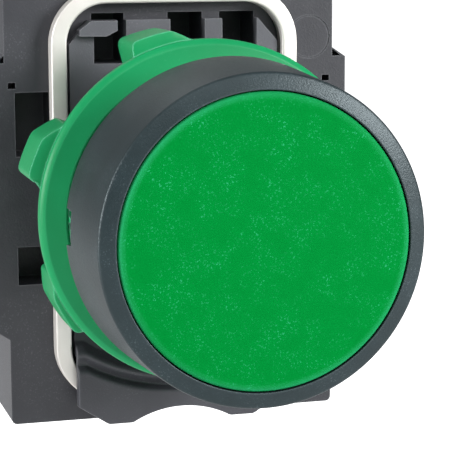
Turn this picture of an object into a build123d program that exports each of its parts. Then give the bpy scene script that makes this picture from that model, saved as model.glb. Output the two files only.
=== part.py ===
from build123d import *
import os
from math import cos, sin, radians

# A 22 mm class flush push button with its fixing collar and one contact block.
# +Z is up, the push axis is +Y, and the button faces -Y.
# The origin is on the push axis, in the plane of the panel's front surface.
# All sizes are in millimetres.

# ---- button head, in front of the panel ----
CREST_Y = -10.2            # front crest of the bezel
CREST_R = 13.34
BEZEL_BACK_Y = -0.2
BEZEL_BACK_R = 13.88
BEZEL_MOUTH_Y = -10.65     # inner front edge of the bezel
BEZEL_BORE_R = 11.95
WEB_FRONT_Y = -2.5         # the bezel's inner web, which the gasket seats against
WEB_BACK_Y = -1.3
WEB_BORE_R = 11.15
NOTCH_Z = 0.4              # drain notch in the bezel's back edge
NOTCH_WIDTH = 2.9
NOTCH_DEPTH = 1.6
GASKET_IN_R = 11.25
GASKET_OUT_R = 13.0
CAP_R = 11.7
CAP_FRONT_Y = -10.75
CAP_WALL = 1.3
CAP_SKIRT_Y = -8.3
CAP_SKIRT_BORE_R = 10.6
CAP_EDGE_ROUND = 0.45

# ---- barrel that passes through the panel ----
BARREL_R = 11.1
BARREL_BORE_R = 9.6
BARREL_BACK_Y = 21.0
FLANGE_R = 11.85
FLANGE_FRONT_Y = -3.7
RELIEF_R = 10.9
PLAIN_WALL_Y = 2.0         # the plain wall that the panel hole fits
THREAD_START_Y = 2.5
THREAD_PITCH = 1.5
THREAD_TURNS = 9
THREAD_ROOT_R = 10.45
SPRING_SEAT_Y = 8.5
SPRING_SEAT = 1.5
STEM_R = 3.2
STEM_BORE_R = 3.35
STEM_BACK_Y = 22.15
RETURN_COIL_R = 5.6
RETURN_WIRE_R = 0.45
RETURN_TURNS = 7
GUIDE_R = 9.3
GUIDE_WALL = 1.3
GUIDE_BACK_Y = 3.0
SEAL_IN_R = 9.4
SEAL_OUT_R = 10.3
SEAL_FRONT_Y = -4.9

# ---- ring nut ----
NUT_FRONT_Y = 5.5
NUT_FACE_R = 14.45
NUT_RIM_R = 14.93
NUT_RIM_Y = 6.6
NUT_HUB_R = 13.2
NUT_BACK_Y = 12.5
NUT_BORE_R = 11.2
LUG_R = 16.0
LOW_LUG_R = 15.4           # the third lug of each group is lower
LUG_HALF = 2.8
LUG_ROOT_R = 12.8
LUG_SLOPE = 1.9            # length of the sloping flank
LUG_STEEP_ROUND = 1.1
LUG_SLOPE_ROUND = 0.8
LUG_FRONT_Y = 6.3
LUG_BACK_Y = 11.8
LUG_STEP = 52.8
LUG_FIRST = 105.0
TOOTH_COUNT = 72
TOOTH_IN_R = 11.4
TOOTH_OUT_R = 12.5
TOOTH_HEIGHT = 0.35
TOOTH_HALF = 0.16
BITE_RING_BACK_Y = 6.1     # the toothed ring sits in a recess of this depth
BITE_RING_OUT_R = 12.5

# ---- fixing collar ----
BLOCK_HALF_X = 15.5
BLOCK_HALF_Z = 21.05
SHOULDER_Y = 19.0
COLLAR_BACK_Y = 27.0
SOCKET_R = 11.4
SOCKET_FLOOR_Y = 21.3
THROUGH_R = 4.0
EAR_X = 16.8
EAR_TOP_Z = 13.07
EAR_SLOPE = 0.87
EAR_RECESS_DEPTH = 1.2
LIP_Y = 16.1
LIP_BACK_Y = 17.1
LIP_HALF_X = 9.75
LIP_CORNER_Z = -19.15
LIP_FOOT_X = 6.95
LIP_FOOT_Z = -20.97
SCALLOP_HALF_X = 4.66
SCALLOP_TOP_Z = -19.72
LIP_ARC_R = 18.2
RIDGE_R = 16.95
PLATE_Y = 17.9
PLATE_LOW_Z = 4.0
PLATE_TOP_Z = 16.0
PLATE_SHOULDER_Z = 13.9    # the plate's top corners are cut off, to clear the frame
PLATE_SHOULDER_X = 7.9
RIB_RISE_Y = 0.9           # the guide rib stands this far in front of the plate
RIB_OUTLINE = [(-8.95, 14.65), (-6.5, 14.6), (-5.5, 15.1), (-5.5, 16.0), (-7.9, 16.0), (-8.95, 15.2)]
LEFT_POCKET = (-7.5, -4.5)
MIDDLE_POCKET = (-0.4, 2.85)
RIGHT_POCKET = (4.5, 7.8)
LEFT_POCKET_Z = 12.1
POCKET_Z = 12.9
LEFT_POCKET_TOP_Z = 15.3
POCKET_TOP_Z = 16.6
POCKET_STEP_X = -5.35      # the left pocket is open at the top beyond this line
POCKET_DEPTH = 4.5
WINDOW_IN_X = 11.2
WINDOW_OUT_X = 14.6
UPPER_WINDOW = (3.8, 9.6)
LOWER_WINDOW = (-8.0, -4.5)
KEYHOLE_X = (14.5, 15.2)
KEYHOLE_Z = (9.95, 10.5)
KEYHOLE_DEPTH = 2.0
LATCH_X = 10.2
LATCH_HALF_X = 1.6
LATCH_Z = (17.6, 19.4)
LATCH_DEPTH = 3.5
MARK_PLACE = (13.2, 14.1)  # shallow round ejector mark
MARK_IN_R = 1.9
MARK_OUT_R = 2.03
MARK_DEPTH = 0.06

# ---- steel locking frame ----
FRAME_Y = 17.3
FRAME_BACK_Y = 18.9
FRAME_HALF_X = 11.5
FRAME_HALF_Z = 18.94
FRAME_BAR = 1.42
FRAME_CORNER_R = 5.08
BARREL_NOTCH_X = 10.05

# ---- contact block ----
HOUSING_HALF_X = 4.9
HOUSING_HALF_Z = 19.5
HOUSING_BACK_Y = 42.0
COVER_BACK_Y = 43.5
WALL = 1.0
END_WALL = 1.5
RIB_RISE = 0.35            # grip ribs on the housing's sides
RIB_HALF = 0.5
RIB_STEP = 6.0
PARTITION_Z = (8.3, 9.3)   # the wall each fixed contact strip rests on
RIB_FRONT_Y = 30.0
RIB_BACK_Y = 39.5
HOOK_RISE = 1.2
HOOK_HALF_X = 1.6
HOOK_FRONT_Y = 27.3
HOOK_BACK_Y = 31.5
PLUNGER_HALF = 2.6
PLUNGER_FRONT_Y = 22.2
PLUNGER_FLANGE_Y = 28.5
PLUNGER_FLANGE_BACK_Y = 29.4
PLUNGER_FLANGE_HALF = 3.5
ROD_R = 0.9
ROD_CAP_Y = 34.7
ROD_CAP_BACK_Y = 35.3
BRIDGE_Y = 34.0
BRIDGE_THICK = 0.6
BRIDGE_HALF_Z = 7.6
BRIDGE_HALF_X = 2.2
TIP_Z = 6.0
TIP_R = 1.3
TIP_THICK = 0.4
FIXED_TIP_Y = 37.65        # contacts close after 2.6 mm of bridge travel
FIXED_TIP_THICK = 0.55
STRIP_THICK = 0.8
STRIP_HALF_X = 2.8
STRIP_IN_Z = 4.4
STRIP_STEP_Z = 9.2
STRIP_OUT_Z = 17.2
TERMINAL_Y = 33.2
TERMINAL_Z = 13.4
SADDLE_Y = 34.3
SADDLE_THICK = 0.8
SADDLE_HALF = 3.2
SCREW_HEAD_R = 2.4
SCREW_HEAD = 2.2
SCREW_SHANK_R = 1.7
SCREW_TIP_Y = 29.8
SLOT_WIDTH = 0.7
SLOT_DEPTH = 1.1
CROSS_DEPTH = 1.4
CROSS_REACH = 1.5
DRIVER_HOLE_R = 2.8
BRIDGE_COIL_R = 1.7
BRIDGE_WIRE_R = 0.18
BRIDGE_TURNS = 4
PLUNGER_COIL_R = 1.15
PLUNGER_WIRE_R = 0.17
PLUNGER_TURNS = 7
WIRE_HOLE_R = 1.9
WIRE_HOLE_Y = 36.2


def disc(radius, y0, y1):
    """A solid cylinder about the push axis, from y0 to y1."""
    return Pos(0, (y0 + y1) / 2, 0) * Rot(90, 0, 0) * Cylinder(radius, y1 - y0)


def ring(inner, outer, y0, y1):
    return disc(outer, y0, y1) - disc(inner, y0 - 1, y1 + 1)


def slab(x0, x1, y0, y1, z0, z1):
    """A box given by its limits along each axis."""
    middle = Pos((x0 + x1) / 2, (y0 + y1) / 2, (z0 + z1) / 2)
    return middle * Box(x1 - x0, y1 - y0, z1 - z0)


def prism(outline, y0, y1):
    """A flat outline, drawn in x and z, carried from y0 to y1."""
    return Pos(0, y1, 0) * Rot(90, 0, 0) * extrude(outline, amount=y1 - y0)


def outline_of(points):
    return make_face(Polyline(*points, close=True))


def turned(points):
    """A solid turned about the push axis from (radius, y) points."""
    return revolve(outline_of(points), axis=Axis.Y)


def rounded_corner(face, point, radius):
    corner = face.vertices().sort_by_distance(point)[0]
    return fillet(corner, radius)


def coil(radius, wire, y0, y1, turns):
    """A round wire spring about the push axis, its ends inside y0 and y1."""
    length = y1 - y0 - 2 * wire
    path = Helix(pitch=length / turns, height=length, radius=radius)
    section = Plane(origin=path @ 0, z_dir=path % 0) * Circle(wire)
    spring = sweep(section, path=path, is_frenet=True)
    return Pos(0, y0 + wire, 0) * Rot(-90, 0, 0) * spring


# ---- the head ----

def make_bezel():
    profile = outline_of([
        (BEZEL_BORE_R, BEZEL_MOUTH_Y),
        (CREST_R, CREST_Y),
        (BEZEL_BACK_R, BEZEL_BACK_Y),
        (GASKET_OUT_R, BEZEL_BACK_Y),
        (GASKET_OUT_R, WEB_BACK_Y),
        (WEB_BORE_R, WEB_BACK_Y),
        (WEB_BORE_R, WEB_FRONT_Y),
        (BEZEL_BORE_R, WEB_FRONT_Y),
    ])
    profile = rounded_corner(profile, (CREST_R, CREST_Y, 0), 0.25)
    profile = rounded_corner(profile, (BEZEL_BORE_R, BEZEL_MOUTH_Y, 0), 0.12)
    bezel = revolve(profile, axis=Axis.Y)
    notch = slab(
        -BEZEL_BACK_R - 1, -GASKET_OUT_R + 0.2,
        BEZEL_BACK_Y - NOTCH_DEPTH, BEZEL_BACK_Y + 1,
        NOTCH_Z - NOTCH_WIDTH / 2, NOTCH_Z + NOTCH_WIDTH / 2,
    )
    return bezel - notch


def thread_points():
    """The outer line of the barrel's thread, front to back."""
    points = []
    for turn in range(THREAD_TURNS):
        start = THREAD_START_Y + turn * THREAD_PITCH
        points.append((THREAD_ROOT_R, start + THREAD_PITCH * 0.20))
        points.append((THREAD_ROOT_R, start + THREAD_PITCH * 0.35))
        points.append((BARREL_R, start + THREAD_PITCH * 0.70))
        points.append((BARREL_R, start + THREAD_PITCH * 0.85))
    return points


def make_head_barrel():
    barrel = turned([
        (BARREL_BORE_R, FLANGE_FRONT_Y),
        (FLANGE_R, FLANGE_FRONT_Y),
        (FLANGE_R, WEB_FRONT_Y),
        (RELIEF_R, WEB_FRONT_Y),
        (RELIEF_R, 0),
        (BARREL_R, 0),
        (BARREL_R, PLAIN_WALL_Y),
        *thread_points(),
        (BARREL_R, BARREL_BACK_Y - 0.6),
        (BARREL_R - 0.6, BARREL_BACK_Y),
        (BARREL_BORE_R, BARREL_BACK_Y),
    ])
    for side in (-1, 1):
        reach = sorted((side * BARREL_NOTCH_X, side * (BARREL_R + 1)))
        barrel -= slab(*reach, FRAME_Y - 0.2, FRAME_BACK_Y + 0.2, -BARREL_R, BARREL_R)
    return barrel


def make_spring_seat():
    """The ring pressed into the barrel that the return spring pushes on and the stem slides in."""
    return ring(STEM_BORE_R, BARREL_BORE_R, SPRING_SEAT_Y, SPRING_SEAT_Y + SPRING_SEAT)


def make_panel_gasket():
    bead = 0.25
    return turned([
        (GASKET_IN_R, WEB_BACK_Y),
        (GASKET_OUT_R, WEB_BACK_Y),
        (GASKET_OUT_R, -bead),
        (GASKET_OUT_R - bead, 0),
        (GASKET_IN_R + bead, 0),
        (GASKET_IN_R, -bead),
    ])


def make_lip_seal():
    """A seal ring whose thin inner lip wipes the sliding guide."""
    return turned([
        (SEAL_IN_R, SEAL_FRONT_Y),
        (SEAL_IN_R + 0.3, SEAL_FRONT_Y),
        (SEAL_IN_R + 0.45, SEAL_FRONT_Y + 0.6),
        (SEAL_OUT_R, SEAL_FRONT_Y + 0.75),
        (SEAL_OUT_R, FLANGE_FRONT_Y),
        (SEAL_IN_R + 0.25, FLANGE_FRONT_Y),
    ])


def make_push_cap():
    profile = outline_of([
        (0, CAP_FRONT_Y),
        (CAP_R, CAP_FRONT_Y),
        (CAP_R, CAP_SKIRT_Y),
        (CAP_SKIRT_BORE_R, CAP_SKIRT_Y),
        (CAP_SKIRT_BORE_R, CAP_FRONT_Y + CAP_WALL),
        (0, CAP_FRONT_Y + CAP_WALL),
    ])
    profile = rounded_corner(profile, (CAP_R, CAP_FRONT_Y, 0), CAP_EDGE_ROUND)
    return revolve(profile, axis=Axis.Y)


def make_operator_plunger():
    """The cap's carrier: a guide tube, closed in front, round a long stem."""
    front = CAP_FRONT_Y + CAP_WALL
    floor = front + GUIDE_WALL
    stem_tip = 0.5
    return turned([
        (0, front),
        (GUIDE_R, front),
        (GUIDE_R, GUIDE_BACK_Y),
        (GUIDE_R - GUIDE_WALL, GUIDE_BACK_Y),
        (GUIDE_R - GUIDE_WALL, floor),
        (STEM_R, floor),
        (STEM_R, STEM_BACK_Y - stem_tip),
        (STEM_R - stem_tip, STEM_BACK_Y),
        (0, STEM_BACK_Y),
    ])


def make_return_spring():
    front = CAP_FRONT_Y + CAP_WALL + GUIDE_WALL
    return coil(RETURN_COIL_R, RETURN_WIRE_R, front, SPRING_SEAT_Y, RETURN_TURNS)


# ---- the ring nut ----

def nut_lug(tip_r):
    """One driving lug, at the top of the nut: a steep flank on one side, a slope on the other."""
    slope_x = LUG_HALF - LUG_SLOPE
    outline = outline_of([
        (-LUG_HALF, LUG_ROOT_R),
        (LUG_HALF, LUG_ROOT_R),
        (LUG_HALF, NUT_RIM_R - 0.5),
        (slope_x, tip_r),
        (-LUG_HALF, tip_r),
    ])
    outline = rounded_corner(outline, (-LUG_HALF, tip_r, 0), LUG_STEEP_ROUND)
    outline = rounded_corner(outline, (slope_x, tip_r, 0), LUG_SLOPE_ROUND)
    return prism(outline, LUG_FRONT_Y, LUG_BACK_Y)


def make_ring_nut():
    body = turned([
        (NUT_BORE_R, BITE_RING_BACK_Y),
        (BITE_RING_OUT_R, BITE_RING_BACK_Y),
        (BITE_RING_OUT_R, NUT_FRONT_Y),
        (NUT_FACE_R, NUT_FRONT_Y),
        (NUT_RIM_R, NUT_FRONT_Y + 0.45),
        (NUT_RIM_R, NUT_RIM_Y),
        (NUT_HUB_R, NUT_RIM_Y + 0.5),
        (NUT_HUB_R, NUT_BACK_Y),
        (NUT_BORE_R, NUT_BACK_Y),
    ])
    for side in (0, 180):
        for place, tip_r in enumerate((LUG_R, LUG_R, LOW_LUG_R)):
            angle = LUG_FIRST + place * LUG_STEP + side
            body += Rot(0, 90 - angle, 0) * nut_lug(tip_r)
    return body


def make_bite_ring():
    """The toothed ring set in the nut's face, which bites the back of the panel."""
    base = ring(NUT_BORE_R, BITE_RING_OUT_R, NUT_FRONT_Y, BITE_RING_BACK_Y)
    teeth = []
    for count in range(TOOTH_COUNT):
        tooth = slab(
            TOOTH_IN_R, TOOTH_OUT_R, NUT_FRONT_Y - TOOTH_HEIGHT, NUT_FRONT_Y + 0.1, -TOOTH_HALF, TOOTH_HALF
        )
        teeth.append(Rot(0, 360 * count / TOOTH_COUNT, 0) * tooth)
    return base.fuse(*teeth)


# ---- the fixing collar ----

def scallop(y0, y1):
    """The round notch at the bottom of the collar."""
    rise = SCALLOP_TOP_Z - LIP_FOOT_Z
    radius = (SCALLOP_HALF_X ** 2 + rise ** 2) / (2 * rise)
    return Pos(0, 0, SCALLOP_TOP_Z - radius) * disc(radius, y0, y1)


def ear(side):
    outline = outline_of([
        (BLOCK_HALF_X - 1, -EAR_TOP_Z),
        (BLOCK_HALF_X, -EAR_TOP_Z),
        (EAR_X, -EAR_TOP_Z + EAR_SLOPE),
        (EAR_X, EAR_TOP_Z - EAR_SLOPE),
        (BLOCK_HALF_X, EAR_TOP_Z),
        (BLOCK_HALF_X - 1, EAR_TOP_Z),
    ])
    if side < 0:
        outline = mirror(outline, about=Plane.YZ)
    return prism(outline, SHOULDER_Y, COLLAR_BACK_Y - 3)


def through_plate(x_limits, z_limits, depth):
    """A cutting block from in front of the collar's plates down to a depth below the shoulder."""
    return slab(*sorted(x_limits), LIP_Y - 1, SHOULDER_Y + depth, *sorted(z_limits))


def both_sides(limits, side):
    return (side * limits[0], side * limits[1])


def make_collar_base():
    base = slab(-BLOCK_HALF_X, BLOCK_HALF_X, SHOULDER_Y, COLLAR_BACK_Y, -BLOCK_HALF_Z, BLOCK_HALF_Z)
    base = fillet(base.edges().filter_by(Axis.Y), 0.5)
    base += ear(1) + ear(-1)
    base -= disc(SOCKET_R, SHOULDER_Y - 1, SOCKET_FLOOR_Y)
    base -= disc(THROUGH_R, SHOULDER_Y, COLLAR_BACK_Y + 1)
    base -= scallop(SHOULDER_Y - 1, COLLAR_BACK_Y + 1)
    for side in (-1, 1):
        window_x = both_sides((WINDOW_IN_X, WINDOW_OUT_X), side)
        base -= through_plate(window_x, UPPER_WINDOW, POCKET_DEPTH)
        base -= through_plate(window_x, LOWER_WINDOW, POCKET_DEPTH)
        base -= through_plate(both_sides(KEYHOLE_X, side), KEYHOLE_Z, KEYHOLE_DEPTH)
        base -= ear_recess(side)
        for end in (-1, 1):
            base -= latch_slot(side * LATCH_X, end)
    base -= through_plate(LEFT_POCKET, (LEFT_POCKET_Z, POCKET_TOP_Z), POCKET_DEPTH)
    base -= through_plate(MIDDLE_POCKET, (POCKET_Z, POCKET_TOP_Z), POCKET_DEPTH)
    base -= through_plate(RIGHT_POCKET, (POCKET_Z, POCKET_TOP_Z), POCKET_DEPTH)
    mark = ring(MARK_IN_R, MARK_OUT_R, SHOULDER_Y - 1, SHOULDER_Y + MARK_DEPTH)
    return base - Pos(MARK_PLACE[0], 0, MARK_PLACE[1]) * mark


def ear_recess(side):
    """The small three-cornered pocket under the ear's sloping shoulder."""
    outline = outline_of([
        (BLOCK_HALF_X + 0.02, EAR_TOP_Z - 0.12),
        (BLOCK_HALF_X + 0.02, EAR_TOP_Z - 0.8),
        (EAR_X - 0.45, EAR_TOP_Z - 0.8),
    ])
    if side < 0:
        outline = mirror(outline, about=Plane.YZ)
    return prism(outline, SHOULDER_Y - 1, SHOULDER_Y + EAR_RECESS_DEPTH)


def latch_slot(x, end):
    """A rear slot that takes the hook of a further contact block."""
    reach = sorted(both_sides(LATCH_Z, end))
    return slab(x - LATCH_HALF_X, x + LATCH_HALF_X, COLLAR_BACK_Y - LATCH_DEPTH, COLLAR_BACK_Y + 1, *reach)


def lip_outline(top_z):
    return outline_of([
        (-LIP_HALF_X, top_z),
        (-LIP_HALF_X, LIP_CORNER_Z),
        (-LIP_FOOT_X, LIP_FOOT_Z),
        (LIP_FOOT_X, LIP_FOOT_Z),
        (LIP_HALF_X, LIP_CORNER_Z),
        (LIP_HALF_X, top_z),
    ])


def make_collar_lower_plate():
    """The dished front plate below the barrel, with its round ridge, groove and bottom lip."""
    plate = turned([
        (SOCKET_R + 0.2, PLATE_Y),
        (RIDGE_R - 0.9, PLATE_Y),
        (RIDGE_R - 0.35, PLATE_Y - 1.1),
        (RIDGE_R, PLATE_Y - 1.3),
        (RIDGE_R + 0.4, PLATE_Y - 1.05),
        (LIP_ARC_R - 0.45, LIP_Y + 0.85),
        (LIP_ARC_R, LIP_Y),
        (LIP_ARC_R + 6, LIP_Y),
        (LIP_ARC_R + 6, LIP_BACK_Y),
        (RIDGE_R, LIP_BACK_Y),
        (RIDGE_R, SHOULDER_Y),
        (SOCKET_R + 0.2, SHOULDER_Y),
    ])
    plate = plate & prism(lip_outline(-4), LIP_Y - 1, SHOULDER_Y + 1)
    return plate - scallop(LIP_Y - 1, SHOULDER_Y + 1)


def make_collar_upper_plate():
    """The flat front plate above the barrel, with its guide rib and its open pockets."""
    outline = outline_of([
        (-LIP_HALF_X, PLATE_LOW_Z),
        (LIP_HALF_X, PLATE_LOW_Z),
        (LIP_HALF_X, PLATE_SHOULDER_Z),
        (PLATE_SHOULDER_X, PLATE_TOP_Z),
        (-PLATE_SHOULDER_X, PLATE_TOP_Z),
        (-LIP_HALF_X, PLATE_SHOULDER_Z),
    ])
    plate = prism(outline, PLATE_Y, SHOULDER_Y)
    plate -= disc(SOCKET_R + 0.2, PLATE_Y - 1, SHOULDER_Y + 1)
    open_top_z = PLATE_TOP_Z + 1
    plate -= through_plate(LEFT_POCKET, (LEFT_POCKET_Z, LEFT_POCKET_TOP_Z), 1)
    plate -= through_plate((POCKET_STEP_X, LEFT_POCKET[1]), (LEFT_POCKET_Z, open_top_z), 1)
    plate -= through_plate(MIDDLE_POCKET, (POCKET_Z, open_top_z), 1)
    plate -= through_plate(RIGHT_POCKET, (POCKET_Z, open_top_z), 1)
    return plate + prism(outline_of(RIB_OUTLINE), PLATE_Y - RIB_RISE_Y, PLATE_Y + 0.5)


def make_locking_frame():
    outer = RectangleRounded(2 * FRAME_HALF_X, 2 * FRAME_HALF_Z, FRAME_CORNER_R)
    inner = RectangleRounded(
        2 * (FRAME_HALF_X - FRAME_BAR), 2 * (FRAME_HALF_Z - FRAME_BAR), FRAME_CORNER_R - FRAME_BAR
    )
    return prism(outer - inner, FRAME_Y, FRAME_BACK_Y)


# ---- the contact block ----

def make_contact_housing():
    half_x = HOUSING_HALF_X
    half_z = HOUSING_HALF_Z
    shell = slab(-half_x, half_x, COLLAR_BACK_Y, HOUSING_BACK_Y, -half_z, half_z)
    inside_x = HOUSING_HALF_X - WALL
    inside_z = HOUSING_HALF_Z - END_WALL
    shell -= slab(-inside_x, inside_x, COLLAR_BACK_Y + WALL, HOUSING_BACK_Y + 1, -inside_z, inside_z)
    guide = PLUNGER_HALF + 0.15
    shell -= slab(-guide, guide, COLLAR_BACK_Y - 1, COLLAR_BACK_Y + 2, -guide, guide)
    shell -= Pos(0, WIRE_HOLE_Y, 0) * Cylinder(WIRE_HOLE_R, 2 * HOUSING_HALF_Z + 2)
    for side in (-1, 1):
        reach = sorted(both_sides(PARTITION_Z, side))
        shell += slab(-inside_x, inside_x, COLLAR_BACK_Y + WALL, TERMINAL_Y, *reach)
        shell += housing_hook(side)
        for place in (-RIB_STEP, 0, RIB_STEP):
            wall = sorted((side * (HOUSING_HALF_X - 0.2), side * (HOUSING_HALF_X + RIB_RISE)))
            shell += slab(*wall, RIB_FRONT_Y, RIB_BACK_Y, place - RIB_HALF, place + RIB_HALF)
    return shell


def housing_hook(end):
    """The sloped hook at each end of the housing, which a screwdriver springs free."""
    outline = Polyline(
        (HOOK_FRONT_Y, end * (HOUSING_HALF_Z - 0.2)),
        (HOOK_FRONT_Y, end * (HOUSING_HALF_Z + HOOK_RISE)),
        (HOOK_FRONT_Y + 0.8, end * (HOUSING_HALF_Z + HOOK_RISE)),
        (HOOK_BACK_Y, end * (HOUSING_HALF_Z - 0.2)),
        close=True,
    )
    return extrude(Plane.YZ * make_face(outline), amount=HOOK_HALF_X, both=True)


def make_contact_cover():
    half_x = HOUSING_HALF_X
    half_z = HOUSING_HALF_Z
    cover = slab(-half_x, half_x, HOUSING_BACK_Y, COVER_BACK_Y, -half_z, half_z)
    cover = chamfer(cover.faces().sort_by(Axis.Y)[-1].edges(), 0.4)
    for side in (-1, 1):
        cover -= Pos(0, 0, side * TERMINAL_Z) * disc(DRIVER_HOLE_R, HOUSING_BACK_Y - 1, COVER_BACK_Y + 1)
    return cover


def make_contact_plunger():
    half = PLUNGER_HALF
    wide = PLUNGER_FLANGE_HALF
    head = slab(-half, half, PLUNGER_FRONT_Y, PLUNGER_FLANGE_Y, -half, half)
    head = chamfer(head.faces().sort_by(Axis.Y)[0].edges(), 0.5)
    head += slab(-wide, wide, PLUNGER_FLANGE_Y, PLUNGER_FLANGE_BACK_Y, -wide, wide)
    head += disc(ROD_R, PLUNGER_FLANGE_BACK_Y, ROD_CAP_Y)
    return head + disc(ROD_R + 0.6, ROD_CAP_Y, ROD_CAP_BACK_Y)


def make_contact_bridge():
    bar = slab(
        -BRIDGE_HALF_X, BRIDGE_HALF_X, BRIDGE_Y, BRIDGE_Y + BRIDGE_THICK, -BRIDGE_HALF_Z, BRIDGE_HALF_Z
    )
    bar = fillet(bar.edges().filter_by(Axis.Y), 0.8)
    return bar - disc(ROD_R + 0.15, BRIDGE_Y - 1, BRIDGE_Y + 2)


def make_bridge_tips():
    tips = []
    for side in (-1, 1):
        start = BRIDGE_Y + BRIDGE_THICK
        tips.append(Pos(0, 0, side * TIP_Z) * disc(TIP_R, start, start + TIP_THICK))
    return Compound(children=tips)


def make_fixed_tips():
    tips = []
    for side in (-1, 1):
        tips.append(Pos(0, 0, side * TIP_Z) * disc(TIP_R, FIXED_TIP_Y, FIXED_TIP_Y + FIXED_TIP_THICK))
    return Compound(children=tips)


def make_fixed_contact(side):
    """A stepped strip: inner end behind the tip, outer end under the clamp."""
    wide = STRIP_HALF_X
    contact_y = FIXED_TIP_Y + FIXED_TIP_THICK
    inner = sorted((side * STRIP_IN_Z, side * STRIP_STEP_Z))
    step = sorted((side * (STRIP_STEP_Z - STRIP_THICK), side * STRIP_STEP_Z))
    outer = sorted((side * (STRIP_STEP_Z - STRIP_THICK), side * STRIP_OUT_Z))
    strip = slab(-wide, wide, contact_y, contact_y + STRIP_THICK, *inner)
    strip += slab(-wide, wide, TERMINAL_Y, contact_y + STRIP_THICK, *step)
    strip += slab(-wide, wide, TERMINAL_Y, TERMINAL_Y + STRIP_THICK, *outer)
    hole = Pos(0, 0, side * TERMINAL_Z) * disc(SCREW_SHANK_R + 0.05, TERMINAL_Y - 1, TERMINAL_Y + 2)
    return strip - hole


def make_clamp_plate(side):
    """The captive saddle that presses a wire onto the strip."""
    half = SADDLE_HALF
    reach = sorted((side * (TERMINAL_Z - half), side * (TERMINAL_Z + half)))
    plate = slab(-half, half, SADDLE_Y, SADDLE_Y + SADDLE_THICK, *reach)
    plate = fillet(plate.edges().filter_by(Axis.Y), 0.6)
    hole = Pos(0, 0, side * TERMINAL_Z) * disc(SCREW_SHANK_R + 0.05, SADDLE_Y - 1, SADDLE_Y + 2)
    return plate - hole


def make_terminal_screw(side):
    head_y = SADDLE_Y + SADDLE_THICK
    top_y = head_y + SCREW_HEAD
    screw = turned([
        (0, SCREW_TIP_Y),
        (SCREW_SHANK_R - 0.4, SCREW_TIP_Y),
        (SCREW_SHANK_R, SCREW_TIP_Y + 0.4),
        (SCREW_SHANK_R, head_y),
        (SCREW_HEAD_R, head_y),
        (SCREW_HEAD_R, top_y - 0.3),
        (SCREW_HEAD_R - 0.3, top_y),
        (0, top_y),
    ])
    half_slot = SLOT_WIDTH / 2
    screw -= slab(-SCREW_HEAD_R - 1, SCREW_HEAD_R + 1, top_y - SLOT_DEPTH, top_y + 1, -half_slot, half_slot)
    screw -= slab(-half_slot, half_slot, top_y - CROSS_DEPTH, top_y + 1, -CROSS_REACH, CROSS_REACH)
    return Pos(0, 0, side * TERMINAL_Z) * screw


def make_bridge_spring():
    return coil(BRIDGE_COIL_R, BRIDGE_WIRE_R, PLUNGER_FLANGE_BACK_Y, BRIDGE_Y, BRIDGE_TURNS)


def make_plunger_spring():
    return coil(PLUNGER_COIL_R, PLUNGER_WIRE_R, ROD_CAP_BACK_Y, HOUSING_BACK_Y, PLUNGER_TURNS)


NODES = {
    "bezel": make_bezel(),
    "head_barrel": make_head_barrel(),
    "spring_seat": make_spring_seat(),
    "panel_gasket": make_panel_gasket(),
    "lip_seal": make_lip_seal(),
    "push_cap": make_push_cap(),
    "operator_plunger": make_operator_plunger(),
    "return_spring": make_return_spring(),
    "ring_nut": make_ring_nut(),
    "bite_ring": make_bite_ring(),
    "collar_base": make_collar_base(),
    "collar_upper_plate": make_collar_upper_plate(),
    "collar_lower_plate": make_collar_lower_plate(),
    "locking_frame": make_locking_frame(),
    "contact_housing": make_contact_housing(),
    "contact_cover": make_contact_cover(),
    "contact_plunger": make_contact_plunger(),
    "contact_bridge": make_contact_bridge(),
    "bridge_tips": make_bridge_tips(),
    "fixed_tips": make_fixed_tips(),
    "fixed_contact_top": make_fixed_contact(1),
    "fixed_contact_bottom": make_fixed_contact(-1),
    "clamp_plate_top": make_clamp_plate(1),
    "clamp_plate_bottom": make_clamp_plate(-1),
    "terminal_screw_top": make_terminal_screw(1),
    "terminal_screw_bottom": make_terminal_screw(-1),
    "bridge_spring": make_bridge_spring(),
    "plunger_spring": make_plunger_spring(),
}

os.makedirs("parts", exist_ok=True)
for name, solid in NODES.items():
    export_step(solid, f"parts/{name}.step")
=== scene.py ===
import math

import bmesh
import bpy
import numpy as np
from mathutils import Matrix, Vector


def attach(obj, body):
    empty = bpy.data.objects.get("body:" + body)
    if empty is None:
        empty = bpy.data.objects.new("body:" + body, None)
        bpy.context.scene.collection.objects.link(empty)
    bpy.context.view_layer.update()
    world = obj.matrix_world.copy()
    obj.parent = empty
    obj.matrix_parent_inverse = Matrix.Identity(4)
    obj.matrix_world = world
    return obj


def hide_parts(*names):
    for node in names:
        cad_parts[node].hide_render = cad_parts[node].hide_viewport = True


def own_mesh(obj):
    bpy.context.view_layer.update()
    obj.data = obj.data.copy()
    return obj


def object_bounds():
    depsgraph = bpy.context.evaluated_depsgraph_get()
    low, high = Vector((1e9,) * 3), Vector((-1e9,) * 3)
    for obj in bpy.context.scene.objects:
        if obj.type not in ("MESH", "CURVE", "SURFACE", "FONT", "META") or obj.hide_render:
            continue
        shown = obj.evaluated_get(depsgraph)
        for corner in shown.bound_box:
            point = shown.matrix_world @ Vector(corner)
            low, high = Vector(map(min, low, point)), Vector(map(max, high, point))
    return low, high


# A flush push button head with its ring nut, fixing collar, steel locking frame and one
# contact block. The push axis is y, from the cap in front to the contact block behind, and
# z is up. Shapes are drawn in millimetres, and lights and the floor are placed in metres.

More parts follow.
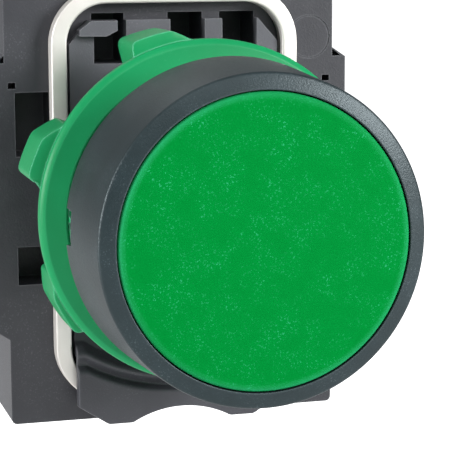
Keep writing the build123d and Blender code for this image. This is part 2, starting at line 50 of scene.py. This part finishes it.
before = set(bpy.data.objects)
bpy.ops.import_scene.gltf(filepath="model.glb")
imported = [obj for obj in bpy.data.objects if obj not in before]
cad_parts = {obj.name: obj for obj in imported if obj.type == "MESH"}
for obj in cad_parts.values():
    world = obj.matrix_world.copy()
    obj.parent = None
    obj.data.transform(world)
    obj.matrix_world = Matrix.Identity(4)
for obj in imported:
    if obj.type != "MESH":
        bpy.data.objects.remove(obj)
cad_low, cad_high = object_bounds()
MM = 0.001
FULL_TURN = 2 * np.pi


# ---------------------------------------------------------------- shapes

def softened(corners, rounds, steps=5):
    """A closed outline with each corner rounded: the corner point p becomes the curve
    (1-t)^2 a + 2t(1-t) p + t^2 b, where a and b lie on its two sides at the corner's
    own distance from p."""
    points = np.array(corners, float)
    reach = np.array(rounds, float)[:, None]
    before = np.roll(points, 1, axis=0) - points
    after = np.roll(points, -1, axis=0) - points
    start = points + reach * before / np.linalg.norm(before, axis=1, keepdims=True)
    end = points + reach * after / np.linalg.norm(after, axis=1, keepdims=True)
    t = np.linspace(0, 1, steps)[None, :, None]
    start, points, end = start[:, None], points[:, None], end[:, None]
    return ((1 - t) ** 2 * start + 2 * t * (1 - t) * points + t ** 2 * end).reshape(-1, 2)


def sheet_mesh(name, grid, loop_u=True, loop_v=True):
    """A mesh over a grid of points: each grid cell is one four-sided face, and a looped
    direction joins its last row to its first."""
    rows, columns = grid.shape[:2]
    index = np.arange(rows * columns).reshape(rows, columns)
    if loop_u:
        index = np.vstack([index, index[:1]])
    if loop_v:
        index = np.hstack([index, index[:, :1]])
    quads = np.stack([index[:-1, :-1], index[1:, :-1], index[1:, 1:], index[:-1, 1:]], axis=-1)
    mesh = bpy.data.meshes.new(name)
    mesh.from_pydata((grid.reshape(-1, 3) * MM).tolist(), [], quads.reshape(-1, 4).tolist())
    return mesh


def close_up(mesh):
    """Merges points that lie on each other and turns every face outwards."""
    same_place, no_length = 0.002 * MM, 0.0005 * MM
    shape = bmesh.new()
    shape.from_mesh(mesh)
    bmesh.ops.remove_doubles(shape, verts=shape.verts, dist=same_place)
    bmesh.ops.dissolve_degenerate(shape, edges=shape.edges, dist=no_length)
    bmesh.ops.recalc_face_normals(shape, faces=shape.faces)
    shape.to_mesh(mesh)
    shape.free()


def finished(name, mesh, body, stands_for, material):
    """Puts a mesh in the scene on its body, in place of the nodes it stands for. Its seams
    are closed, and its smooth shading is broken only at edges sharper than the crease."""
    crease = math.radians(40)
    piece = bpy.data.objects.new(name, mesh)
    bpy.context.scene.collection.objects.link(piece)
    close_up(mesh)
    mesh.shade_smooth()
    mesh.set_sharp_from_angle(angle=crease)
    mesh.materials.append(material)
    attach(piece, body)
    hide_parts(*stands_for)
    return piece


def turned(radius, depth, angles):
    """Points of a shape turned about the push axis. Radius and depth are (angle, profile)
    arrays, or profile arrays: x = r cos a, y = depth, z = r sin a."""
    angle = np.asarray(angles, float)[:, None]
    r = np.broadcast_to(radius, (len(angles), np.shape(radius)[-1]))
    y = np.broadcast_to(depth, r.shape)
    return np.stack([r * np.cos(angle), y, r * np.sin(angle)], axis=-1)


def even_angles(count):
    return np.linspace(0, FULL_TURN, count, endpoint=False)


def step(value, start, end):
    """0 before start, 1 after end, with a straight ramp between."""
    return np.clip((value - start) / (end - start), 0, 1)


def push_cap_shape():
    """The cap: a flat face, a small edge round and a short skirt, turned about the axis."""
    radius, skirt = 11.87, 10.6
    front, inside, back = -10.75, -9.45, -8.3
    profile = softened(
        [(0, front), (radius, front), (radius, back), (skirt, back), (skirt, inside), (0, inside)],
        [0, 0.5, 0.15, 0.15, 0.2, 0],
    )
    return sheet_mesh("push_cap_shape", turned(profile[:, 0], profile[:, 1], even_angles(192)))


def bezel_shape():
    """The bezel's profile turned about the axis. Across the notch, between its two side
    angles, the back edge is moved forward to the notch's floor, and the outer wall is drawn
    in by its lean times that move, so that it keeps its slope."""
    bore, web, groove = 11.95, 11.15, 13.0
    back, groove_floor, web_front = -0.2, -1.3, -2.5
    profile = softened(
        [(bore, -10.65), (13.34, -10.2), (13.783, -2.0), (13.88, back), (groove, back),
         (groove, groove_floor), (web, groove_floor), (web, web_front), (bore, web_front)],
        [0.14, 0.24, 0.02, 0.12, 0.05, 0.05, 0.05, 0.1, 0.1],
    )
    wall, notch_height, notch_half, notch_floor = 13.7, 0.4, 1.45, -1.8
    centre = np.pi - math.asin(notch_height / wall)
    half = math.asin(notch_half / wall)
    flank = 0.004
    notch = np.concatenate([
        np.linspace(centre - half - flank, centre - half + flank, 6),
        np.linspace(centre - half + 2 * flank, centre + half - 2 * flank, 8),
        np.linspace(centre + half - flank, centre + half + flank, 6),
    ])
    free = even_angles(224)
    outside = np.abs(free - centre) > half + 2 * flank
    angles = np.sort(np.concatenate([free[outside], notch]))
    inside = 1 - step(np.abs(angles - centre), half - flank, half + flank)
    inside = inside[:, None]
    radius, depth = profile[None, :, 0], profile[None, :, 1]
    rim_from, wall_from, lean = 12.9, 13.5, 0.054
    sunk = np.where(radius > rim_from, np.minimum(depth, notch_floor), depth)
    drawn_in = lean * (depth - sunk) * (radius > wall_from)
    radius, depth = radius - inside * drawn_in, depth + inside * (sunk - depth)
    return sheet_mesh("bezel_shape", turned(radius, depth, angles))


def lug_edge(tip):
    """A driving lug's edge as angles and radii about its own middle, from its low side to
    its steep side. It is drawn flat, x across and z outwards: angle = atan(x / z) and
    radius = sqrt(x^2 + z^2)."""
    half, foot, shoulder, flat_from = 2.8, 12.8, 14.43, 0.9
    drawn = softened(
        [(half, foot), (half, shoulder), (flat_from, tip), (-half, tip), (-half, foot)],
        [0, 0.25, 0.5, 0.85, 0], 7)
    return np.arctan2(drawn[:, 0], drawn[:, 1]), np.hypot(drawn[:, 0], drawn[:, 1])


def ring_nut_shape():
    """The ring nut. Its radius at each angle and depth is the larger of the plain ring's and
    of the lug's edge at that angle less the lug's drop at that depth. The drop rounds the
    lug's front and back edges, and is more than a whole lug where there is none."""
    none = 99
    profile = np.array([  # radius of the plain ring, depth, drop of the lug
        # the seat of the toothed ring, with a small bead round it
        (12.5, 6.1, none), (12.5, 5.58, none), (12.56, 5.5, none), (12.66, 5.44, none),
        (12.78, 5.44, none), (12.88, 5.5, none),
        # the face and its bevelled rim
        (14.4, 5.5, none), (14.5, 5.53, none), (14.86, 5.86, none), (14.93, 5.98, none),
        (14.93, 6.29, none),
        # the lugs, with the back of the rim sloping in between them
        (14.93, 6.3, 0.12), (14.93, 6.36, 0.03), (14.93, 6.55, 0), (14.86, 6.64, 0),
        (13.35, 7.06, 0), (13.2, 7.2, 0), (13.2, 9.4, 0), (13.2, 11.72, 0.03),
        (13.2, 11.79, 0.12),
        # the back and the bore
        (13.2, 11.8, none), (13.2, 12.35, none), (13.05, 12.5, none), (11.3, 12.5, none),
        (11.2, 12.4, none), (11.2, 6.1, none),
    ])
    plain, depth, drop = profile.T
    first, apart, tips = 105, 52.8, (16.0, 16.0, 15.4)
    lugs = [
        (math.radians(first + apart * place + side), tip)
        for side in (0, 180) for place, tip in enumerate(tips)
    ]
    lug_angles = [(spot - lug_edge(tip)[0]) % FULL_TURN for spot, tip in lugs]
    angles = np.unique(np.concatenate([even_angles(180), *lug_angles]))
    lug = np.zeros(len(angles))
    for spot, tip in lugs:
        local, radius = lug_edge(tip)
        away = (spot - angles + np.pi) % FULL_TURN - np.pi
        order = np.argsort(local)
        lug = np.maximum(lug, np.interp(away, local[order], radius[order], left=0, right=0))
    radius = np.maximum(plain, lug[:, None] - drop)
    return sheet_mesh("ring_nut_shape", turned(radius, depth, angles))


def bite_ring_shape():
    """The toothed ring: over each tooth's share of the round, its front stands forward by
    the tooth height, with short sloping flanks."""
    bore, rim, front, back = 11.2, 12.5, 5.5, 6.1
    profile = np.array([
        (bore, back), (bore, front), (11.4, front), (11.5, front), (12.42, front),
        (rim, front), (rim, back),
    ])
    raised = np.array([0, 0, 0, 1, 1, 0, 0])
    teeth, tooth_height = 72, 0.35
    pitch = FULL_TURN / teeth
    tooth = np.array([-0.24, -0.15, 0.15, 0.24]) * pitch
    angles = (np.arange(teeth)[:, None] * pitch + tooth).ravel()
    high = np.tile([0, 1, 1, 0], teeth)[:, None]
    depth = profile[:, 1] - tooth_height * high * raised
    return sheet_mesh("bite_ring_shape", turned(profile[:, 0], depth, angles))


def locking_frame_shape():
    """The stamped frame: a rounded bar section carried round a rectangle with round corners.
    A point at inset d lies at the corner's centre plus (corner radius - d) along the angle."""
    width, front, back = 1.42, 17.3, 18.9
    centre_x, centre_z, corner_radius = 6.42, 13.86, 5.08
    bar = softened(
        [(0, front), (width, front), (width, back), (0, back)], [0.16, 0.22, 0.1, 0.1], 6)
    quarter = np.linspace(0, np.pi / 2, 14)[:, None]
    reach = corner_radius - bar[:, 0]
    rows = []
    for corner, (side_x, side_z) in enumerate([(1, 1), (-1, 1), (-1, -1), (1, -1)]):
        angle = quarter + corner * np.pi / 2
        x = side_x * centre_x + reach * np.cos(angle)
        z = side_z * centre_z + reach * np.sin(angle)
        rows.append(np.stack([x, np.broadcast_to(bar[:, 1], x.shape), z], axis=-1))
    return sheet_mesh("locking_frame_shape", np.concatenate(rows))


def lower_plate_shape():
    """The dished lower plate of the collar. Its front depth is a profile of the distance from
    the push axis, where the sideways part of that distance stops growing near the sides, so
    that the ridge and the lip run out level there. Front and back rows share the same heights
    and meet at the sides and at the foot."""
    hole, level_from, lip = 11.6, 8.9, 16.1
    dish = np.array([  # distance from the axis, depth
        (hole, 17.9), (15.95, 17.9), (16.1, 17.82), (16.55, 16.85), (16.75, 16.66),
        (16.95, 16.6), (17.15, 16.66), (17.35, 16.88), (17.72, 16.96), (17.82, 16.9),
        (18.05, 16.22), (18.2, lip), (18.45, lip),
    ])
    edge_x = np.array([9.6, 9.7, 9.75, 9.75])
    x = np.concatenate([-edge_x[::-1], np.linspace(-9.4, 9.4, 75), edge_x])[:, None]

    # The foot is level, cut up at its two corners and by a round scallop in the middle.
    foot_z, corner_x, corner_z = -20.97, 6.95, -19.15
    scallop_half, scallop_rise = 4.66, 1.25
    scallop_radius = (scallop_half ** 2 + scallop_rise ** 2) / (2 * scallop_rise)
    scallop = (foot_z + scallop_rise - scallop_radius
               + np.sqrt(np.maximum(scallop_radius ** 2 - x ** 2, 0)))
    foot = np.interp(np.abs(x), [corner_x, edge_x[-1]], [foot_z, corner_z])
    foot = np.where(np.abs(x) < scallop_half, scallop, foot)

    top = -np.sqrt(hole ** 2 - x ** 2)
    upper = -np.sqrt(dish[1:, 0] ** 2 - np.minimum(np.abs(x), level_from) ** 2)
    lower = upper[:, -1:] + np.array([0.3, 0.6, 0.9]) * (foot - upper[:, -1:])
    height = np.hstack([top, upper, lower, foot + 0.14, foot + 0.04, foot])
    front = np.concatenate([dish[:, 1], [lip] * 4, [lip + 0.04, lip + 0.14]])
    thick_rows, thick_back, thin_back = 6, 19.0, 17.1
    back = np.where(np.arange(len(front)) < thick_rows, thick_back, thin_back)
    back = np.broadcast_to(back, height.shape)

    # The front is rounded at the sides, and both faces meet halfway at the very edge.
    edge = step(np.abs(x), 9.6, 9.75)
    front = front + 0.14 * (1 - np.sqrt(1 - edge ** 2))
    at_side = np.zeros(x.shape, bool)
    at_side[[0, -1]] = True
    middle = (front + back) / 2
    front, back = np.where(at_side, middle, front), np.where(at_side, middle, back)
    wide = np.broadcast_to(x, height.shape)
    face = np.stack([wide, front, height], axis=-1)
    rear = np.stack([wide, back, height], axis=-1)[:, ::-1]
    rows = np.concatenate([face, rear], axis=1)
    return sheet_mesh("lower_plate_shape", rows, loop_u=False)


def coil_shape(radius, wire, front, back, turns):
    """A coil spring about the push axis: a circle of the wire's radius carried along a helix,
    y rising evenly from front to back, with each end closed to a point at the wire's middle."""
    rings_a_turn, sides = 30, 10
    t = np.linspace(0, 1, int(rings_a_turn * turns))
    t = np.concatenate([t[:1], t, t[-1:]])[:, None]
    turn = FULL_TURN * turns * t
    rise = back - front - 2 * wire
    outward = np.hstack([np.cos(turn), 0 * turn, np.sin(turn)])
    middle = radius * outward + (front + wire + rise * t) * np.array([0, 1, 0])
    pace = radius * FULL_TURN * turns
    along = np.hstack([-pace * np.sin(turn), rise + 0 * turn, pace * np.cos(turn)])
    along /= np.linalg.norm(along, axis=1, keepdims=True)
    across = np.cross(along, outward)
    girth = np.full(t.shape, wire)
    girth[[0, -1]] = 0
    around = even_angles(sides)[None, :, None]
    ring = np.cos(around) * outward[:, None] + np.sin(around) * across[:, None]
    return sheet_mesh("coil_shape", middle[:, None] + girth[:, None] * ring, loop_u=False)


# ---------------------------------------------------------------- materials

def feed(tree, socket, value):
    """Links the socket from an output, or sets it to a plain value."""
    if isinstance(value, bpy.types.NodeSocket):
        tree.links.new(value, socket)
    else:
        socket.default_value = value


def add(tree, kind, **inputs):
    """A node of that kind, with its named inputs fed."""
    made = tree.nodes.new(kind)
    for name, value in inputs.items():
        feed(tree, made.inputs[name.replace("_", " ")], value)
    return made


def math_node(tree, operation, *values):
    made = tree.nodes.new("ShaderNodeMath")
    made.operation = operation
    for socket, value in zip(made.inputs, values):
        feed(tree, socket, value)
    return made.outputs[0]


def mixed(tree, share, first, second):
    """A colour between first and second, by share."""
    factor, colour_a, colour_b, colour_out = 0, 6, 7, 2
    made = tree.nodes.new("ShaderNodeMix")
    made.data_type = "RGBA"
    feed(tree, made.inputs[factor], share)
    feed(tree, made.inputs[colour_a], first)
    feed(tree, made.inputs[colour_b], second)
    return made.outputs[colour_out]


def ramp(tree, value, low, high):
    """Value stretched so that low becomes 0 and high becomes 1."""
    return add(tree, "ShaderNodeMapRange", Value=value, From_Min=low, From_Max=high).outputs[0]


def spread(tree, value, low, high):
    """Value stretched so that 0 becomes low and 1 becomes high."""
    return add(tree, "ShaderNodeMapRange", Value=value, To_Min=low, To_Max=high).outputs[0]


def noise(tree, place, scale, **inputs):
    return add(tree, "ShaderNodeTexNoise", Vector=place, Scale=scale, **inputs).outputs[0]


def bumped(tree, height, depth):
    """A normal for that height, depth millimetres at its full range."""
    return add(tree, "ShaderNodeBump", Height=height, Distance=depth * MM, Strength=1.0).outputs[0]


def object_place(tree):
    return tree.nodes.new("ShaderNodeTexCoord").outputs["Object"]


def new_group(name, inputs, outputs):
    """An empty shader group. Inputs are (name, default), outputs are names."""
    tree = bpy.data.node_groups.new(name, "ShaderNodeTree")
    for socket, value in inputs:
        made = tree.interface.new_socket(socket, in_out="INPUT", socket_type="NodeSocketFloat")
        made.default_value = value
    for socket in outputs:
        tree.interface.new_socket(socket, in_out="OUTPUT", socket_type="NodeSocketFloat")
    return tree, tree.nodes.new("NodeGroupInput"), tree.nodes.new("NodeGroupOutput")


def make_moulded_grain():
    """Spark-eroded mould texture: a fine grain, soft broad unevenness and sparse specks that
    keep to the unevenness. Both sizes are in millimetres."""
    tree, given, result = new_group(
        "moulded grain", [("Grain Size", 0.2), ("Patch Size", 6.0)],
        ["Height", "Patches", "Specks"],
    )
    place = object_place(tree)
    fine_scale = math_node(tree, "DIVIDE", 1 / MM, given.outputs["Grain Size"])
    broad_scale = math_node(tree, "DIVIDE", 1 / MM, given.outputs["Patch Size"])
    speck_scale = math_node(tree, "MULTIPLY", fine_scale, 1.15)
    fine = noise(tree, place, fine_scale, Detail=2.0, Roughness=0.6)
    broad = noise(tree, place, broad_scale, Detail=3.0, Roughness=0.6)
    speck = noise(tree, place, speck_scale, Detail=1.0)
    thin = ramp(tree, speck, 0.62, 0.72)
    grouped = ramp(tree, broad, 0.42, 0.62)
    feed(tree, result.inputs["Height"], fine)
    feed(tree, result.inputs["Patches"], ramp(tree, broad, 0.35, 0.65))
    feed(tree, result.inputs["Specks"], math_node(tree, "MULTIPLY", thin, grouped))
    return tree


def make_edge_highlight_and_wear():
    """A mask that is 1 on outer edges, from how far a rounded normal leans from the face's
    own. It marks where pale colour goes as a painted edge highlight as well as wear. The radius is
    in millimetres."""
    tree, given, result = new_group("edge highlight and wear", [("Radius", 0.15), ("Strength", 6.0)], ["Edge"])
    rounded = tree.nodes.new("ShaderNodeBevel")
    rounded.samples = 4
    feed(tree, rounded.inputs["Radius"], math_node(tree, "MULTIPLY", given.outputs["Radius"], MM))
    plain = tree.nodes.new("ShaderNodeNewGeometry")
    lean = tree.nodes.new("ShaderNodeVectorMath")
    lean.operation = "DOT_PRODUCT"
    feed(tree, lean.inputs[0], rounded.outputs[0])
    feed(tree, lean.inputs[1], plain.outputs["Normal"])
    away = math_node(tree, "SUBTRACT", 1.0, lean.outputs["Value"])
    strong = math_node(tree, "MULTIPLY", away, given.outputs["Strength"])
    feed(tree, result.inputs["Edge"], math_node(tree, "MINIMUM", strong, 1.0))
    return tree


MOULDED_GRAIN = make_moulded_grain()
EDGE_HIGHLIGHT_AND_WEAR = make_edge_highlight_and_wear()


def place_group(tree, group, **inputs):
    made = tree.nodes.new("ShaderNodeGroup")
    made.node_tree = group
    for name, value in inputs.items():
        feed(tree, made.inputs[name.replace("_", " ")], value)
    return made.outputs


def new_material(name):
    material = bpy.data.materials.new(name)
    material.use_nodes = True
    tree = material.node_tree
    return material, tree, tree.nodes["Principled BSDF"]


def plastic(name, colour, pale, dark, grain=0.2, patch=6.0, depth=0.02, roughness=(0.42, 0.6),
            speck=0.35, edge=0.3, edge_width=0.18, edge_strength=6.0, gloss=0.25, sheen=(1, 1, 1)):
    """Moulded plastic: body colour drifting towards a darker shade in patches, pale specks in
    the grain, and paler edges, which are a painted edge highlight as well as rubbed wear. Speck
    and edge are how strongly the pale colour shows there, and edge_width and edge_strength are the
    edge's width and how sharply it is picked out."""
    material, tree, surface = new_material(name)
    texture = place_group(tree, MOULDED_GRAIN, Grain_Size=grain, Patch_Size=patch)
    # The edge mask lays the pale colour on edges as a painted highlight, along with wear.
    edge_mask = place_group(tree, EDGE_HIGHLIGHT_AND_WEAR, Radius=edge_width, Strength=edge_strength)
    speck_share = math_node(tree, "MULTIPLY", texture["Specks"], speck)
    edge_share = math_node(tree, "MULTIPLY", edge_mask["Edge"], edge)
    drift = mixed(tree, texture["Patches"], (*dark, 1), (*colour, 1))
    speckled = mixed(tree, speck_share, drift, (*pale, 1))
    feed(tree, surface.inputs["Base Color"], mixed(tree, edge_share, speckled, (*pale, 1)))
    feed(tree, surface.inputs["Roughness"], spread(tree, texture["Height"], *roughness))
    feed(tree, surface.inputs["Normal"], bumped(tree, texture["Height"], depth))
    surface.inputs["Specular IOR Level"].default_value = gloss
    surface.inputs["Specular Tint"].default_value = (*sheen, 1)
    return material


def metal(name, colour, tarnish, roughness=(0.2, 0.38), stretch=(1, 1, 1), share=1.0):
    """Metal with fine drawn lines, a patchy tarnish and uneven gloss. Both scales are noise
    features a metre, and stretch draws the lines out along an axis."""
    line_scale, patch_scale, line_depth = 1200.0, 180.0, 0.002
    material, tree, surface = new_material(name)
    place = object_place(tree)
    drawn = add(tree, "ShaderNodeMapping", Vector=place, Scale=stretch).outputs[0]
    lines = noise(tree, drawn, line_scale, Detail=3.0)
    broad = noise(tree, place, patch_scale, Detail=4.0, Roughness=0.6)
    patches = ramp(tree, broad, 0.35, 0.7)
    tarnished = mixed(tree, patches, (*colour, 1), (*tarnish, 1))
    feed(tree, surface.inputs["Base Color"], tarnished)
    feed(tree, surface.inputs["Roughness"], spread(tree, lines, *roughness))
    feed(tree, surface.inputs["Normal"], bumped(tree, lines, line_depth))
    surface.inputs["Metallic"].default_value = share
    return material


# Plastics are given as body colour, pale colour and dark colour.
# The pale edge colour below is painted highlight as well as wear: the light band round the cap's
# edge, the mint rim of the nut and the thin light line on the bezel's crest.
CAP_GREEN = plastic(
    "cap green", (0.0, 0.180, 0.026), (0.03, 0.36, 0.17), (0.0, 0.169, 0.024),
    grain=0.15, patch=2.2, speck=0.65, edge=0.5, edge_width=0.6, edge_strength=40.0, gloss=0.01)
NUT_GREEN = plastic(
    "nut green", (0.005, 0.262, 0.087), (0.22, 0.62, 0.44), (0.004, 0.243, 0.078),
    grain=0.3, depth=0.006, roughness=(0.34, 0.44), speck=0.03, edge=0.75, edge_width=0.2, gloss=0.2)
BEZEL_GREY = plastic(
    "bezel grey", (0.009, 0.018, 0.021), (0.12, 0.15, 0.165), (0.006, 0.013, 0.015),
    grain=0.15, patch=4.0, depth=0.025, roughness=(0.34, 0.48), edge=0.5, gloss=0.45,
    sheen=(0.84, 0.96, 1))
COLLAR_GREY = plastic(
    "collar grey", (0.036, 0.037, 0.044), (0.17, 0.175, 0.19), (0.028, 0.029, 0.035),
    grain=0.18, roughness=(0.36, 0.52), speck=0.25, edge=0.5, gloss=0.45)
PLATE_GREY = plastic(
    "plate grey", (0.050, 0.051, 0.060), (0.19, 0.195, 0.21), (0.041, 0.042, 0.050),
    grain=0.18, roughness=(0.36, 0.52), speck=0.25, edge=0.55, gloss=0.4)
# A lighter copy of the collar plastic: painted light on the upper plate, which stands lit while
# the lower plate lies in shade.
UPPER_PLATE_LIT_GREY = plastic(
    "upper plate lit grey", (0.100, 0.102, 0.115), (0.24, 0.245, 0.26), (0.083, 0.085, 0.096),
    grain=0.18, roughness=(0.36, 0.52), speck=0.25, edge=0.4, gloss=0.4)
BARREL_GREY = plastic(
    "barrel grey", (0.03, 0.034, 0.038), (0.11, 0.12, 0.13), (0.025, 0.028, 0.031))
BLOCK_GREY = plastic(
    "block grey", (0.05, 0.053, 0.06), (0.16, 0.17, 0.18), (0.042, 0.045, 0.052))
PLUNGER_GREEN = plastic(
    "plunger green", (0.012, 0.23, 0.08), (0.10, 0.42, 0.22), (0.01, 0.2, 0.07))
RUBBER = plastic(
    "black rubber", (0.012, 0.012, 0.013), (0.05, 0.05, 0.05), (0.008, 0.008, 0.009),
    depth=0.01, roughness=(0.6, 0.8), speck=0.1, edge=0.2)

# Metals are given as clean colour and tarnished colour.
STEEL = metal(
    "nickel steel", (0.76, 0.732, 0.70), (0.69, 0.66, 0.62),
    roughness=(0.42, 0.5), stretch=(1, 1, 0.06), share=0.55)
COPPER = metal("copper alloy", (0.72, 0.42, 0.26), (0.55, 0.30, 0.18))
SILVER = metal("contact silver", (0.86, 0.85, 0.83), (0.7, 0.69, 0.68))
ZINC = metal("zinc steel", (0.66, 0.67, 0.68), (0.5, 0.51, 0.53))
SPRING = metal("spring steel", (0.55, 0.55, 0.56), (0.42, 0.41, 0.40))

FINISHES = {
    "bezel": BEZEL_GREY,
    "head_barrel": BARREL_GREY,
    "spring_seat": BARREL_GREY,
    "panel_gasket": RUBBER,
    "lip_seal": RUBBER,
    "push_cap": CAP_GREEN,
    "operator_plunger": BARREL_GREY,
    "return_spring": SPRING,
    "ring_nut": NUT_GREEN,
    "bite_ring": NUT_GREEN,
    "collar_base": COLLAR_GREY,
    "collar_upper_plate": UPPER_PLATE_LIT_GREY,
    "collar_lower_plate": PLATE_GREY,
    "locking_frame": STEEL,
    "contact_housing": BLOCK_GREY,
    "contact_cover": BLOCK_GREY,
    "contact_plunger": PLUNGER_GREEN,
    "contact_bridge": COPPER,
    "bridge_tips": SILVER,
    "fixed_tips": SILVER,
    "fixed_contact_top": COPPER,
    "fixed_contact_bottom": COPPER,
    "clamp_plate_top": ZINC,
    "clamp_plate_bottom": ZINC,
    "terminal_screw_top": ZINC,
    "terminal_screw_bottom": ZINC,
    "bridge_spring": SPRING,
    "plunger_spring": SPRING,
}


def finish_cad_nodes():
    for name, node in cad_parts.items():
        node.data.materials.clear()
        node.data.materials.append(FINISHES[name])


# ---------------------------------------------------------------- studio

def make_camera():
    """A long lens a little left of and above the push axis."""
    place = Vector((-42.31, -148.04, 24.67)) * MM
    yaw, pitch, roll = math.radians(15.966), math.radians(9.322), math.radians(-0.195)
    data = bpy.data.cameras.new("camera")
    data.lens = 146.77
    data.sensor_width = 36
    data.clip_start = 0.01
    camera = bpy.data.objects.new("camera", data)
    bpy.context.scene.collection.objects.link(camera)
    forward = Vector((
        math.sin(yaw) * math.cos(pitch), math.cos(yaw) * math.cos(pitch), -math.sin(pitch)))
    right = forward.cross(Vector((0, 0, 1))).normalized()
    up = right.cross(forward)
    right, up = (
        right * math.cos(roll) + up * math.sin(roll),
        up * math.cos(roll) - right * math.sin(roll),
    )
    turn = Matrix((right, up, -forward)).transposed()
    camera.matrix_world = Matrix.Translation(place) @ turn.to_4x4()
    bpy.context.scene.camera = camera


def soft_light(name, place, size, power):
    """A square soft box at that place, facing the button: size in metres, power in watts."""
    data = bpy.data.lights.new(name, "AREA")
    data.size = size
    data.energy = power
    lamp = bpy.data.objects.new(name, data)
    bpy.context.scene.collection.objects.link(lamp)
    lamp.location = place
    lamp.rotation_euler = (-Vector(place)).to_track_quat("-Z", "Y").to_euler()


def make_studio():
    """Four soft boxes and a pale surround, which the camera sees brighter than it shines."""
    soft_light("key", (0.39, -0.37, 0.20), 0.22, 4.2)
    soft_light("top", (-0.05, -0.42, 0.42), 0.35, 1.0)
    soft_light("left", (-0.50, -0.03, 0.09), 0.16, 2.4)
    soft_light("back", (-0.10, 0.35, 0.40), 0.30, 0.3)
    shining, extra_when_seen = 0.34, 0.7
    world = bpy.data.worlds.new("studio")
    world.use_nodes = True
    tree = world.node_tree
    surround = tree.nodes["Background"]
    seen = tree.nodes.new("ShaderNodeLightPath").outputs["Is Camera Ray"]
    surround.inputs["Color"].default_value = (0.97, 0.985, 1, 1)
    strength = math_node(tree, "MULTIPLY_ADD", seen, extra_when_seen, shining)
    feed(tree, surround.inputs["Strength"], strength)
    bpy.context.scene.world = world
    bpy.context.scene.view_settings.view_transform = "Standard"


def make_floor():
    """A wide pale floor under the part, which glows for the camera only, so that it reads as
    a plain white ground."""
    half, gap, glow = 3.0, 0.03, 0.85
    level = cad_low.z - gap
    corners = [(-half, -half), (half, -half), (half, half), (-half, half)]
    mesh = bpy.data.meshes.new("floor")
    mesh.from_pydata([(x, y, level) for x, y in corners], [], [(0, 1, 2, 3)])
    floor = bpy.data.objects.new("floor", mesh)
    bpy.context.scene.collection.objects.link(floor)
    material, tree, surface = new_material("floor")
    surface.inputs["Base Color"].default_value = (0.9, 0.9, 0.9, 1)
    surface.inputs["Roughness"].default_value = 0.9
    surface.inputs["Specular IOR Level"].default_value = 0.0
    surface.inputs["Emission Color"].default_value = (1, 1, 1, 1)
    seen = tree.nodes.new("ShaderNodeLightPath").outputs["Is Camera Ray"]
    strength = math_node(tree, "MULTIPLY", seen, glow)
    feed(tree, surface.inputs["Emission Strength"], strength)
    mesh.materials.append(material)


# ---------------------------------------------------------------- the scene

finish_cad_nodes()
finished("cap", push_cap_shape(), "button", ["push_cap"], CAP_GREEN)
finished("bezel_ring", bezel_shape(), "head", ["bezel"], BEZEL_GREY)
finished("nut_with_lugs", ring_nut_shape(), "nut", ["ring_nut"], NUT_GREEN)
finished("toothed_ring", bite_ring_shape(), "nut", ["bite_ring"], NUT_GREEN)
finished("steel_frame", locking_frame_shape(), "frame", ["locking_frame"], STEEL)
finished("dished_plate", lower_plate_shape(), "head",
         ["collar_lower_plate"], PLATE_GREY)

# Each spring is attached to one body and gets its own copy of its mesh.
return_coil = finished("return_coil", coil_shape(5.6, 0.45, -8.15, 8.5, 7), "head",
                       ["return_spring"], SPRING)
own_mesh(return_coil)
bridge_coil = finished("bridge_coil", coil_shape(1.7, 0.18, 29.4, 34.0, 4), "bridge",
                       ["bridge_spring"], SPRING)
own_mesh(bridge_coil)
plunger_coil = finished("plunger_coil", coil_shape(1.15, 0.17, 35.3, 42.0, 7), "head",
                        ["plunger_spring"], SPRING)
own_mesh(plunger_coil)

make_camera()
make_studio()
make_floor()
